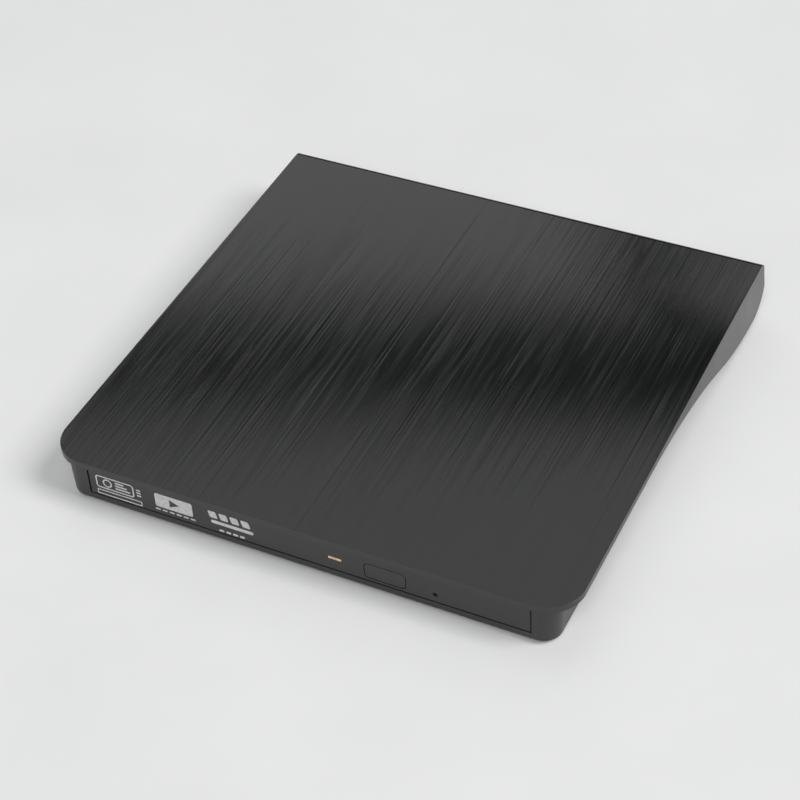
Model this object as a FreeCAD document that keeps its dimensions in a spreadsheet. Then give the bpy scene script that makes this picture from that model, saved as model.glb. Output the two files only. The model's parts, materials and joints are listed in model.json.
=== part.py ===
import FreeCAD, Part
import math
import os
import re
import Sketcher

# External optical drive: a slim tray-loading drive inside a wedge-shaped desktop case.
# Enclosure frame: X to the right of a person facing the tray, Y to the back, Z up, with the
# origin under the middle of the object at the level its feet stand on. Millimetres.
# Drive frame: the same directions, with the origin on the disc's axis under the drive.
# Traverse frame: the drive's, turned so that X is the way the pickup travels.
# Latch frame: the drive's, moved to the latch's pivot and turned to where its spring leaves it.

doc = FreeCAD.newDocument("external_optical_drive")
sheet = doc.addObject("Spreadsheet::Sheet", "Dims")

DIMENSIONS = (
    # case
    ("wide", 148, "case width over the top cover"),
    ("deep", 145, "case depth, plate edge to rear wall"),
    ("front_high", 14.5, "top face above the ground at the front edge"),
    ("slope", 2, "rise of the top face towards the back, degrees"),
    ("plate_thick", 2, "top plate"),
    ("plate_corner", 10, "front corner radius of the plate"),
    ("roll", 3, "radius where the top rolls into the rear wall"),
    ("rear_bulge", 9.7, "height of the widest point of the rear wall"),
    ("rear_lean", 1.6, "how far the rear wall leans in at the roll"),
    ("wing_thick", 3.5, "side wing"),
    ("wave_back", 60.4, "where the side wave leaves the wing's lower edge"),
    ("wave_low_arc", 80, "wave radius, lower arc"),
    ("wave_high_arc", 165, "wave radius, upper arc"),
    ("wave_angle", 17.6, "steepest slope of the wave, degrees"),
    ("toe", 64, "where the wing's lower edge turns up towards the rear wall"),
    ("rear_wall", 2.8, "rear wall of the top cover"),
    ("base_wide", 140.6, "base width at its top edge"),
    ("base_draft", 0.7, "base side draft over its height"),
    ("base_low", 1, "underside of the base above the ground"),
    ("base_floor", 1.5, "base floor thickness"),
    ("base_wall", 1.2, "base side wall thickness"),
    ("base_front_wall", 1.4, "base front and rear wall thickness"),
    ("base_corner", 5, "base front corner radius"),
    ("base_round", 1, "rounding of the base's lower edges"),
    ("label_x", 34, "half the width of the sunk field under the base"),
    ("label_y", 24, "half the depth of that field"),
    ("label_sunk", 0.3, "how far the field is sunk"),
    ("vent_y", 42, "vent slots in the base, from the middle"),
    ("vent_pitch", 9, "vent slots, spacing"),
    ("vent_half", 3, "half the length of a vent slot"),
    ("vent_wide", 0.8, "half the width of a vent slot"),
    ("lip", 1, "how far the plate overhangs the base at the front"),
    ("gap", 0.2, "fitting gap between plastic shells"),
    ("foot_radius", 4.2, "rubber foot"),
    ("foot_x", 64.2, "rubber foot, from the middle"),
    ("foot_front", 60, "front feet, from the middle"),
    ("foot_back", 59, "rear feet, from the middle"),
    ("usb_x", -12, "cable socket, from the middle"),
    ("usb_z", 6.05, "cable socket, height"),
    ("usb_half", 3.85, "half the socket's width"),
    ("usb_tall", 1.95, "half the socket's height"),
    ("boss_x", 66.6, "screw bosses, from the middle"),
    ("boss_radius", 1.7, "screw boss"),
    ("case_screw", 0.8, "case screw shank radius"),
    ("small_screw", 0.7, "board screw shank radius"),
    ("screw_long", 6, "case screw length"),
    ("head_radius", 1.5, "case screw head radius"),
    ("head_thick", 0.6, "case screw head"),
    ("board_low", 3.3, "underside of the bridge board"),
    ("board_thick", 0.8, "bridge board"),
    ("board_front", 59.4, "front edge of the bridge board"),
    ("board_back", 67.4, "rear edge of the bridge board"),
    ("board_left", 40, "bridge board, from the cable socket to its left edge"),
    ("board_right", 11, "bridge board, from the cable socket to its right edge"),
    ("post_radius", 1.9, "posts that the bridge board stands on"),
    ("tower_radius", 2.6, "tower that the rear bracket is fixed to"),
    ("screw_clear", 0.1, "clearance round a screw in a board or bracket"),
    ("sata_x", -39.5, "interface connector, middle"),
    ("sata_y", 58.8, "where the two interface connectors meet"),
    ("bracket_x", 37, "rear bracket, middle"),
    ("bracket_y", 63.4, "rear bracket screw"),
    ("bracket_z", 7, "rear bracket leaf, height"),
    ("bracket_thick", 0.6, "rear bracket sheet"),
    ("foam_front", 38, "foam strip, front edge"),
    ("foam_back", 50, "foam strip, rear edge"),
    ("foam_long", 90, "foam strip length"),
    # slim drive
    ("drive_x", 0.5, "disc axis, from the middle of the case"),
    ("disc_y", -5, "disc axis, from the middle of the case"),
    ("drive_low", 2.8, "underside of the drive above the ground"),
    ("drive_half", 64, "half the drive's width"),
    ("drive_high", 9.5, "drive height"),
    ("sheet_thick", 0.5, "drive sheet steel"),
    ("drive_board_top", 1.3, "top of the drive's main board"),
    ("ribbon_x", -38, "flat cable, middle"),
    ("ribbon_half", 6, "half the flat cable's width"),
    ("chassis_front", -61, "front edge of the drive's sheet metal"),
    ("chassis_back", 62.8, "rear edge of the drive's sheet metal"),
    ("bezel_front", -66.5, "front face of the bezel"),
    ("bezel_half", 62.7, "half the bezel's width"),
    ("bezel_low", 0.85, "lower edge of the bezel"),
    ("tray_front", -62, "front edge of the tray"),
    ("tray_back", 61.8, "rear edge of the tray"),
    ("tray_half", 61, "half the tray's width"),
    ("tray_low", 1.3, "underside of the tray"),
    ("tray_top", 8.3, "rim of the tray"),
    ("tray_floor", 5.6, "floor of the disc recess"),
    ("floor_thick", 0.7, "thickness of that floor"),
    ("tray_wall", 1.5, "tray side walls"),
    ("thumb_x", 50, "finger notches, from the disc's axis"),
    ("thumb_y", 42, "finger notches, from the disc's axis"),
    ("thumb", 11, "finger notch radius"),
    ("window_half", 11, "half the width of the slot over the pickup's path"),
    ("window_near", 9, "inner end of that slot"),
    ("window_far", 63.5, "outer end of that slot"),
    ("recess", 60.2, "disc recess radius"),
    ("small_recess", 40.8, "radius of the shallow step for small discs"),
    ("rail_low", 3, "slide rails, lower edge"),
    ("rail_high", 5.8, "slide rails, upper edge"),
    ("rail_thick", 0.8, "moving rail"),
    ("rail_long", 116, "moving rail length"),
    ("slide_gap", 0.2, "clearance between sliding parts"),
    ("diagonal", -45, "direction the pickup travels in, degrees"),
    ("rod_y", 13.5, "guide rods, either side of the pickup's path"),
    ("rod_radius", 1, "guide rod"),
    ("rod_z", 3.1, "guide rods and lead screw, height"),
    ("rod_start", 14, "guide rods, inner end"),
    ("rod_end", 67, "guide rods, outer end"),
    ("screw_y", 17.6, "lead screw, beside the pickup's path"),
    ("screw_radius", 0.8, "lead screw"),
    ("plate_low", 1.4, "underside of the mechanism's frame"),
    ("plate_sheet", 0.5, "sheet of the mechanism's frame"),
    ("bearing_fit", 0.05, "running fit round the rods and the lead screw"),
    ("motor_radius", 1.5, "feed motor"),
    ("screw_end", 63.8, "outer end of the lead screw's bearing"),
    ("cover_z", 4.65, "sheet over the mechanism"),
    ("cover_sheet", 0.2, "thickness of that sheet"),
    ("lens_start", 23.5, "lens from the disc's axis, innermost"),
    ("sled_half", 6.5, "half the pickup's length"),
    ("sled_wide", 15.3, "half the pickup's width"),
    ("sled_low", 2.3, "underside of the pickup"),
    ("sled_top", 4.6, "top of the pickup"),
    ("rotor_radius", 13, "spindle rotor"),
    ("table_radius", 15, "turntable"),
    ("hub_radius", 7.45, "hub that holds the disc"),
    ("disc_seat", 6.2, "where a disc rests"),
    ("hub_top", 8.2, "top of the hub"),
    ("button_x", 23.65, "eject button, middle"),
    ("button_half", 5.65, "half the button's width"),
    ("button_low", 1.95, "lower edge of the button"),
    ("button_top", 6.7, "upper edge of the button"),
    ("button_gap", 0.2, "gap round the button"),
    ("button_deep", 1.6, "thickness of the button's face"),
    ("button_corner", 1.2, "button corner radius"),
    ("light_x", 9.75, "activity light, middle"),
    ("light_z", 4.85, "activity light, height"),
    ("light_half", 1.85, "half the light's width"),
    ("light_tall", 0.4, "half the light's height"),
    ("pivot_x", -52.8, "latch pivot"),
    ("pivot_y", -58.4, "latch pivot"),
    ("latch_turn", 20, "how far the latch turns to take hold, degrees"),
    ("hole_x", 37.4, "emergency eject hole"),
    ("hole_z", 3.4, "emergency eject hole, height"),
    ("hole_radius", 0.65, "emergency eject hole"),
)

for row, (name, size, note) in enumerate(DIMENSIONS, start=1):
    sheet.set(f"A{row}", name)
    sheet.set(f"B{row}", str(size))
    sheet.set(f"C{row}", note)
    sheet.setAlias(f"B{row}", name)
doc.recompute()

NAMES = {name for name, size, note in DIMENSIONS}
TURNED = {
    "x": FreeCAD.Rotation(FreeCAD.Vector(0, 1, 0), 90),
    "y": FreeCAD.Rotation(FreeCAD.Vector(1, 0, 0), -90),
    "z": FreeCAD.Rotation(),
}
FRAMES = {
    "case": ("0", "0", "0", "0"),
    "drive": ("drive_x", "disc_y", "drive_low", "0"),
    "traverse": ("drive_x", "disc_y", "drive_low", "diagonal"),
    "latch": ("drive_x + pivot_x", "disc_y + pivot_y", "drive_low", "-latch_turn"),
}
parts = []


# ---- helpers -----------------------------------------------------------------------------


def link(text):
    """Point each sheet name in an expression at its cell."""
    return re.sub(r"[a-z][a-z_]*", lambda hit: sheet_name(hit.group()), str(text))


def sheet_name(word):
    return "Dims." + word if word in NAMES else word


def bind(item, prop, text):
    item.setExpression(prop, link(text))


def value(text):
    """What an expression is worth now."""
    return float(sheet.evalExpression(link(text)))


def keep(item, label, frame="case"):
    """Make an object a sub-part: its own label, and the placement of the frame it was drawn in."""
    if item.TypeId in ("Part::Box", "Part::Cylinder"):
        item = group(item)
    item.Label = label
    across, along, up, turn = FRAMES[frame]
    rotation = FreeCAD.Rotation(FreeCAD.Vector(0, 0, 1), value(turn))
    item.Placement = FreeCAD.Placement(FreeCAD.Vector(), rotation)
    bind(item, "Placement.Base.x", across)
    bind(item, "Placement.Base.y", along)
    bind(item, "Placement.Base.z", up)
    parts.append(item)
    return item


def box(x, y, z):
    """A block between three (low, high) pairs."""
    block = doc.addObject("Part::Box", "Block")
    for side, axis, (low, high) in zip(("Length", "Width", "Height"), "xyz", (x, y, z)):
        bind(block, side, f"({high}) - ({low})")
        bind(block, "Placement.Base." + axis, low)
    return block


def rod(radius, span, place, axis="z"):
    """A cylinder along an axis between two heights, its other two coordinates in place."""
    bar = doc.addObject("Part::Cylinder", "Rod")
    bar.Placement = FreeCAD.Placement(FreeCAD.Vector(), TURNED[axis])
    bind(bar, "Radius", radius)
    bind(bar, "Height", f"({span[1]}) - ({span[0]})")
    others = [letter for letter in "xyz" if letter != axis]
    bind(bar, "Placement.Base." + axis, span[0])
    for letter, where in zip(others, place):
        bind(bar, "Placement.Base." + letter, where)
    return bar


def fuse(*items):
    joined = doc.addObject("Part::MultiFuse", "Joined")
    joined.Shapes = list(items)
    joined.Refine = True
    return joined


def group(*items):
    """Separate solids that share one node."""
    bunch = doc.addObject("Part::Compound", "Group")
    bunch.Links = list(items)
    return bunch


def cut(base, *tools):
    left = doc.addObject("Part::Cut", "Cut")
    left.Base = base
    left.Tool = tools[0] if len(tools) == 1 else group(*tools)
    left.Refine = True
    return left


def body():
    return doc.addObject("PartDesign::Body", "Body")


def sketch(owner, role, *loops, offset="0"):
    """A sketch on one of its body's origin planes.

    A loop is a circle (x, y, radius) as three expressions in a tuple, or a list of points.
    A point is (x, y), or (x, y, radius, turn) where an arc runs on to the next point, turning
    left (1) or right (-1).
    """
    drawn = owner.newObject("Sketcher::SketchObject", "Sketch")
    plane = [face for face in owner.Origin.OriginFeatures if face.Role == role][0]
    drawn.AttachmentSupport = [(plane, "")]
    drawn.MapMode = "FlatFace"
    bind(drawn, "AttachmentOffset.Base.z", offset)
    for loop in loops:
        if isinstance(loop, tuple):
            add_circle(drawn, *loop)
        else:
            add_loop(drawn, loop)
    return drawn


def pin_point(drawn, shape, end, x, y):
    """Hold a sketch point at two expressions."""
    for kind, text in (("DistanceX", x), ("DistanceY", y)):
        made = drawn.addConstraint(Sketcher.Constraint(kind, -1, 1, shape, end, value(text)))
        drawn.setExpression(f"Constraints[{made}]", link(text))


def add_circle(drawn, x, y, radius):
    middle = FreeCAD.Vector(value(x), value(y), 0)
    ring = Part.Circle(middle, FreeCAD.Vector(0, 0, 1), value(radius))
    shape = drawn.addGeometry(ring, False)
    pin_point(drawn, shape, 3, x, y)
    made = drawn.addConstraint(Sketcher.Constraint("Radius", shape, value(radius)))
    drawn.setExpression(f"Constraints[{made}]", link(radius))


def add_loop(drawn, points):
    spots = [FreeCAD.Vector(value(point[0]), value(point[1]), 0) for point in points]
    ends = []
    for place, point in enumerate(points):
        start = spots[place]
        stop = spots[(place + 1) % len(points)]
        if len(point) == 2:
            shape = drawn.addGeometry(Part.LineSegment(start, stop), False)
            ends.append((shape, 1, 2))
            continue
        radius, turn = point[2], point[3]
        shape = drawn.addGeometry(arc(start, stop, value(radius), turn), False)
        made = drawn.addConstraint(Sketcher.Constraint("Radius", shape, value(radius)))
        drawn.setExpression(f"Constraints[{made}]", link(radius))
        ends.append((shape, 1, 2) if turn > 0 else (shape, 2, 1))
    for place, (shape, first, last) in enumerate(ends):
        after, start, unused = ends[(place + 1) % len(ends)]
        drawn.addConstraint(Sketcher.Constraint("Coincident", shape, last, after, start))
        pin_point(drawn, shape, first, points[place][0], points[place][1])


def arc(start, stop, radius, turn):
    """The shorter arc of a radius between two points, turning left (1) or right (-1)."""
    chord = stop - start
    inward = FreeCAD.Vector(-chord.y, chord.x, 0).normalize() * turn
    centre = (start + stop) * 0.5 + inward * math.sqrt(radius ** 2 - chord.Length ** 2 / 4)
    angles = [math.atan2(spot.y - centre.y, spot.x - centre.x) for spot in (start, stop)]
    if turn < 0:
        angles.reverse()
    circle = Part.Circle(centre, FreeCAD.Vector(0, 0, 1), radius)
    return Part.ArcOfCircle(circle, angles[0], angles[1])


def pad(owner, profile, length, middle=False, back=False):
    made = owner.newObject("PartDesign::Pad", "Pad")
    made.Profile = profile
    made.Midplane = middle
    made.Reversed = back
    bind(made, "Length", length)
    doc.recompute()
    return made


def pocket(owner, profile, length, middle=False, back=False):
    """Cut a profile out of a body, and check that it met the solid."""
    before = owner.Shape.Volume
    made = owner.newObject("PartDesign::Pocket", "Pocket")
    made.Profile = profile
    made.Midplane = middle
    made.Reversed = back
    bind(made, "Length", length)
    doc.recompute()
    if owner.Shape.Volume > before - 1e-3:
        raise RuntimeError("a pocket cut nothing")
    return made


def revolve(owner, profile):
    """Turn a profile on the XZ plane about the Z axis."""
    made = owner.newObject("PartDesign::Revolution", "Revolution")
    made.Profile = profile
    made.ReferenceAxis = (profile, ["V_Axis"])
    made.Angle = 360
    doc.recompute()
    return made


def dress(owner, kind, size, chosen):
    """Fillet or chamfer the edges of a body that a test picks."""
    base = owner.Tip
    found = [f"Edge{place}" for place, edge in enumerate(base.Shape.Edges, 1) if chosen(edge)]
    if not found:
        raise RuntimeError("no edge to dress")
    made = owner.newObject("PartDesign::" + kind, kind)
    made.Base = (base, found)
    bind(made, "Radius" if kind == "Fillet" else "Size", size)
    doc.recompute()
    return made


def upright(edge, near=None, within=1.5):
    """Whether an edge runs mainly up, and (when told) passes near a point seen from above."""
    ends = edge.Vertexes
    if len(ends) != 2:
        return False
    step = ends[1].Point - ends[0].Point
    if abs(step.z) < 0.9 * step.Length:
        return False
    if near is None:
        return True
    here = ends[0].Point
    return math.hypot(abs(here.x) - near[0], here.y - near[1]) < within


def rectangle(x, y):
    """A rectangular loop between two (low, high) pairs."""
    return [(x[0], y[0]), (x[1], y[0]), (x[1], y[1]), (x[0], y[1])]


def both(half):
    """The (low, high) pair of something that reaches equally far either way."""
    return f"-({half})", f"({half})"


def rounded(middle, half, low, high, corner):
    """A rectangular loop with arcs for corners, around a middle and between two heights."""
    left, right = about(middle, half)
    inner_left, inner_right = about(middle, f"({half}) - ({corner})")
    inner_low, inner_high = f"({low}) + ({corner})", f"({high}) - ({corner})"
    return [(inner_left, low), (inner_right, low, corner, 1), (right, inner_low),
            (right, inner_high, corner, 1), (inner_right, high), (inner_left, high, corner, 1),
            (left, inner_high), (left, inner_low, corner, 1)]


def about(middle, half):
    """The (low, high) pair of something around a middle."""
    return f"({middle}) - ({half})", f"({middle}) + ({half})"


# ---- case ----------------------------------------------------------------------------------


SCREW_ROWS = ("-foot_front + 2", "foot_back - 2")
BOARD_POSTS = (("usb_x - 30", "board_back - 2"), ("usb_x + 7", "board_back - 2"))
# Middle X, half X, middle Y, half Y and height of each chip.
BRIDGE_CHIPS = (
    ("usb_x - 12", "3.2", "board_front + 4", "3", "1"),
    ("usb_x - 6.6", "1.6", "board_front + 2.6", "2", "0.9"),
)
DRIVE_CHIPS = (
    ("-24", "4", "51", "3.6", "1"),
    ("-19", "1.4", "57.6", "2.6", "0.8"),
    ("-57", "2.2", "50.5", "3", "0.9"),
)


def screw_places():
    """Where the four case screws stand, inside the corners."""
    return [(f"{side} * boss_x", row) for side in (-1, 1) for row in SCREW_ROWS]


def plate_under(y):
    """Height of the plate's underside at a distance along the case."""
    return f"(front_high - plate_thick + (({y}) + deep / 2) * tan(slope))"


def top_cover():
    """Flat sloping plate, side wings that end in a wave, and the rear wall, in one moulding."""
    turn_y = "(wave_back - wave_low_arc * sin(wave_angle))"
    meet_y = f"({turn_y} - wave_high_arc * (sin(wave_angle) + sin(slope)))"
    meet_z = plate_under(meet_y)
    turn_z = f"({meet_z} - wave_high_arc * (cos(slope) - cos(wave_angle)))"
    low_z = f"({turn_z} - wave_low_arc * (1 - cos(wave_angle)))"
    rise = f"(rear_bulge - {low_z})"
    toe_arc = f"(((deep / 2 - toe) ^ 2 + {rise} ^ 2) / 2 / {rise})"
    lean_y = "(deep / 2 - rear_lean)"
    roof_y = "(deep / 2 - rear_lean - roll)"
    roof_z = f"({plate_under(roof_y)} + plate_thick)"
    outline = [
        ("-deep / 2", "front_high"),
        ("-deep / 2", "front_high - plate_thick"),
        (meet_y, meet_z, "wave_high_arc", -1),
        (turn_y, turn_z, "wave_low_arc", 1),
        ("wave_back", low_z),
        ("toe", low_z, toe_arc, 1),
        ("deep / 2", "rear_bulge"),
        (lean_y, f"{roof_z} - roll", "roll * 1.02", 1),
        (roof_y, roof_z),
    ]
    cover = body()
    pad(cover, sketch(cover, "YZ_Plane", outline), "wide", middle=True)
    inner = "wide / 2 - wing_thick"
    inside = [
        ("-deep / 2 - 1", plate_under("-deep / 2 - 1")),
        ("-deep / 2 - 1", "0"),
        ("deep / 2 - rear_wall", "0"),
        ("deep / 2 - rear_wall", plate_under("deep / 2 - rear_wall")),
    ]
    pocket(cover, sketch(cover, "YZ_Plane", inside), f"2 * ({inner})", middle=True)
    socket = rectangle(about("usb_x", "usb_half + gap"), about("usb_z", "usb_tall + gap"))
    pocket(cover, sketch(cover, "XZ_Plane", socket, offset="-deep / 2 + rear_wall + 1"),
           "rear_wall + 2")
    corner = (value("wide / 2"), value("-deep / 2"))
    dress(cover, "Fillet", "plate_corner", lambda edge: upright(edge, corner))
    start = "(base_low + base_floor + gap / 2)"
    for place in SCREW_ROWS:
        posts = [(f"{side} * boss_x", place, "boss_radius") for side in (-1, 1)]
        pad(cover, sketch(cover, "XY_Plane", *posts, offset=start),
            f"{plate_under(place)} + plate_thick / 2 - {start}")
    bores = [(x, y, "case_screw") for x, y in screw_places()]
    holes = sketch(cover, "XY_Plane", *bores, offset="base_low")
    pocket(cover, holes, "screw_long + 0.5", back=True)
    return keep(cover, "top_cover")


def base_shell():
    """Tub that holds the drive, with its tray opening at the front."""
    high = plate_under("deep / 2")
    tall = f"({high} - base_low)"
    half = "base_wide / 2"
    front = "-deep / 2 + lip"
    back = "deep / 2 - rear_wall - gap"
    shell = body()
    ends = [(f"-{half} + base_draft", "base_low"), (f"{half} - base_draft", "base_low"),
            (half, high), (f"-{half}", high)]
    pad(shell, sketch(shell, "XZ_Plane", ends, offset=f"-({back})"), f"({back}) - ({front})")
    slice_off = [
        ("-deep / 2", f"{plate_under('-deep / 2')} - gap / 2"),
        ("deep / 2", f"{plate_under('deep / 2')} - gap / 2"),
        ("deep / 2", "front_high * 2"),
        ("-deep / 2", "front_high * 2"),
    ]
    pocket(shell, sketch(shell, "YZ_Plane", slice_off), "wide", middle=True)
    corner = (value("base_wide / 2 - base_draft"), value(front))
    dress(shell, "Fillet", "base_corner", lambda edge: upright(edge, corner, 2))
    floor_z = value("base_low") + 1e-3
    dress(shell, "Fillet", "base_round", lambda edge: edge.BoundBox.ZMax < floor_z)
    wall = "base_wall"
    inner = f"({half} - base_draft - {wall})"
    hollow = rounded("0", inner, f"{front} + base_front_wall", f"{back} - base_front_wall",
                     "base_corner - base_front_wall")
    pocket(shell, sketch(shell, "XY_Plane", hollow, offset="base_low + base_floor"), tall,
           back=True)
    mouth = rectangle(about("drive_x", "bezel_half + gap * 1.5"),
                      ("drive_low + bezel_low - gap", high))
    pocket(shell, sketch(shell, "XZ_Plane", mouth, offset=f"-({front}) + 1"), "4")
    socket = rectangle(about("usb_x", "usb_half + gap"), about("usb_z", "usb_tall + gap"))
    pocket(shell, sketch(shell, "XZ_Plane", socket, offset=f"-({back}) + 2"), "4")
    stands = [(x, y, "post_radius") for x, y in BOARD_POSTS]
    pad(shell, sketch(shell, "XY_Plane", *stands, offset="base_low + base_floor - 0.1"),
        "board_low - base_low - base_floor + 0.1")
    tower = ("bracket_x", "bracket_y", "tower_radius")
    pad(shell, sketch(shell, "XY_Plane", tower, offset="base_low + base_floor - 0.1"),
        "bracket_z - base_low - base_floor + 0.1")
    bores = [(x, y, "small_screw") for x, y, radius in stands]
    pocket(shell, sketch(shell, "XY_Plane", *bores, offset="board_low"), "1.2")
    pocket(shell, sketch(shell, "XY_Plane", ("bracket_x", "bracket_y", "small_screw"),
                         offset="bracket_z"), "3")
    clear = [(x, y, "case_screw + gap") for x, y in screw_places()]
    pocket(shell, sketch(shell, "XY_Plane", *clear, offset="base_low"), "base_floor", back=True)
    heads = [(x, y, "head_radius + gap / 2") for x, y in screw_places()]
    pocket(shell, sketch(shell, "XY_Plane", *heads, offset="base_low"), "head_thick", back=True)
    plate = rectangle(both("label_x"), both("label_y"))
    pocket(shell, sketch(shell, "XY_Plane", plate, offset="base_low"), "label_sunk", back=True)
    slots = [rectangle(about(f"vent_pitch * ({place} - 3.5)", "vent_half"),
                       about("vent_y", "vent_wide")) for place in range(8)]
    pocket(shell, sketch(shell, "XY_Plane", *slots, offset="base_low"), "base_floor", back=True)
    return keep(shell, "base_shell")


def case_fasteners():
    """Feet, and the screws that each one hides."""
    feet = [rod("foot_radius", ("0", "base_low"), (f"{side} * foot_x", row))
            for side in (-1, 1) for row in SCREW_ROWS]
    keep(group(*feet), "rubber_feet")
    screws = [fuse(rod("head_radius", ("base_low", "base_low + head_thick"), place),
                   rod("case_screw", ("base_low", "base_low + screw_long"), place))
              for place in screw_places()]
    keep(group(*screws), "case_screws")


def chips(places, top):
    """Blocks that stand on a board at each place of a table."""
    return group(*[box(about(x, half_x), about(y, half_y), (top, f"{top} + {tall}"))
                   for x, half_x, y, half_y, tall in places])


def bridge_electronics():
    """Board that turns the drive's interface into a cable socket, and what sits on it."""
    top = "board_low + board_thick"
    holes = [(x, y, "small_screw + screw_clear") for x, y in BOARD_POSTS]
    board = body()
    edge = rectangle(("usb_x - board_left", "usb_x + board_right"), ("board_front", "board_back"))
    pad(board, sketch(board, "XY_Plane", edge, *holes, offset="board_low"), "board_thick")
    keep(board, "bridge_board")
    keep(chips(BRIDGE_CHIPS, top), "bridge_chips")
    small = [box(about(f"usb_x - {18 + place * 3}", "0.5"), about("board_back - 1.4", "0.7"),
                 (top, f"{top} + 0.6")) for place in range(4)]
    crystal = box(about("usb_x + 8", "1.6"), about("board_front + 3", "1.2"), (top, f"{top} + 1.1"))
    keep(group(crystal, *small), "bridge_passives")
    shell = box(about("usb_x", "usb_half"), ("board_back - 6", "deep / 2 - 1.6"),
                about("usb_z", "usb_tall"))
    hollow = box(about("usb_x", "usb_half - 0.4"), ("board_back - 1", "deep / 2"),
                 about("usb_z", "usb_tall - 0.4"))
    tongue = box(about("usb_x", "usb_half - 1.4"), ("board_back - 1.2", "deep / 2 - 2.4"),
                 about("usb_z + 0.3", "0.5"))
    keep(fuse(cut(shell, hollow), tongue), "usb_socket")
    host = cut(box(about("sata_x", "10.5"), ("sata_y", "sata_y + 4.6"), (top, f"{top} + 4.2")),
               box(about("sata_x", "8.6"), ("sata_y - 1", "sata_y + 3"),
                   (f"{top} + 1.4", f"{top} + 2.8")))
    keep(host, "sata_receptacle")
    screws = [fuse(rod("1.6", (top, f"{top} + 0.7"), place),
                   rod("small_screw", (f"{top} - 2", top), place))
              for place in BOARD_POSTS]
    keep(group(*screws), "board_screws")


def drive_mounting():
    """Rear bracket and its screw, and the foam strip that presses the drive down."""
    back = "disc_y + chassis_back"
    leaf = "bracket_thick"
    angle = fuse(
        box(about("bracket_x", "7"), (back, f"{back} + {leaf}"),
            ("drive_low + 1", f"bracket_z + {leaf}")),
        box(about("bracket_x", "5"), (back, "bracket_y + 3"), ("bracket_z", f"bracket_z + {leaf}")),
    )
    hole = rod("small_screw + screw_clear", ("bracket_z - 1", "bracket_z + 1"), ("bracket_x", "bracket_y"))
    keep(cut(angle, hole), "rear_bracket")
    top = f"bracket_z + {leaf}"
    screw = fuse(rod("1.8", (top, f"{top} + 0.8"), ("bracket_x", "bracket_y")),
                 rod("small_screw", (f"{top} - 3.4", top), ("bracket_x", "bracket_y")))
    keep(screw, "bracket_screw")
    lid = "drive_low + drive_high"
    strip = body()
    side = [("foam_front", lid), ("foam_back", lid),
            ("foam_back", plate_under("foam_back")), ("foam_front", plate_under("foam_front"))]
    pad(strip, sketch(strip, "YZ_Plane", side), "foam_long", middle=True)
    keep(strip, "foam_strip")


# ---- drive: fixed parts --------------------------------------------------------------------


def drive_chassis():
    """Folded sheet that the tray slides in."""
    edge = "sheet_thick"
    span = ("chassis_front", "chassis_back")
    lid = "drive_high - sheet_thick"
    tub = body()
    floor = rectangle(both("drive_half"), span)
    pad(tub, sketch(tub, "XY_Plane", floor), lid)
    inside = rectangle(both(f"drive_half - {edge}"),
                       ("chassis_front - 1", f"chassis_back - {edge}"))
    pocket(tub, sketch(tub, "XY_Plane", inside, offset=edge), lid, back=True)
    window = rectangle(about("sata_x - drive_x", "10.2"), (edge, "7.2"))
    pocket(tub, sketch(tub, "XZ_Plane", window, offset="-chassis_back + 1"), "2")
    stamped = [rectangle(about(f"{side} * 30", "14"), about("4", "26")) for side in (-1, 1)]
    pocket(tub, sketch(tub, "XY_Plane", *stamped), f"{edge} * 0.4", back=True)
    keep(tub, "drive_chassis", "drive")


def drive_lid():
    """Upper sheet of the drive, with the round swage over the disc."""
    lid = body()
    outline = rectangle(both("drive_half"), ("chassis_front", "chassis_back"))
    pad(lid, sketch(lid, "XY_Plane", outline, offset="drive_high - sheet_thick"), "sheet_thick")
    swage = sketch(lid, "XY_Plane", ("0", "0", "54"), ("0", "0", "51"), offset="drive_high")
    pocket(lid, swage, "0.2")
    for end in ("chassis_front", "chassis_back"):
        corner = (value("drive_half"), value(end))
        dress(lid, "Fillet", "2", lambda edge: upright(edge, corner))
    keep(lid, "drive_lid", "drive")


def drive_board():
    """Main board at the rear left, its chips, its plug and the flat cable's connector."""
    top = "drive_board_top"
    board = box(("-61.5", "-14"), ("45", "62"), ("sheet_thick", top))
    keep(board, "main_board", "drive")
    keep(chips(DRIVE_CHIPS, top), "main_chips", "drive")
    plug_x = "sata_x - drive_x"
    plug = fuse(
        box(about(plug_x, "10"), ("56.5", "61.5"), (top, f"{top} + 4.3")),
        box(about(plug_x, "8.4"), ("61.5", "sata_y - disc_y"), (f"{top} + 1", f"{top} + 3.4")),
    )
    keep(plug, "sata_plug", "drive")
    clamp = box(about("ribbon_x", "ribbon_half + 0.5"), about("47.4", "1.6"), (top, f"{top} + 1"))
    keep(clamp, "flat_cable_clamp", "drive")
    ribbon = box(about("ribbon_x", "ribbon_half"), ("chassis_front + 8", "44.8"),
                 ("sheet_thick", "sheet_thick + 0.15"))
    keep(ribbon, "flat_cable", "drive")
    pin = rod("0.9", ("sheet_thick", "tray_low + 1"), ("-56", "chassis_front + 8"))
    keep(pin, "latch_pin", "drive")


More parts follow.
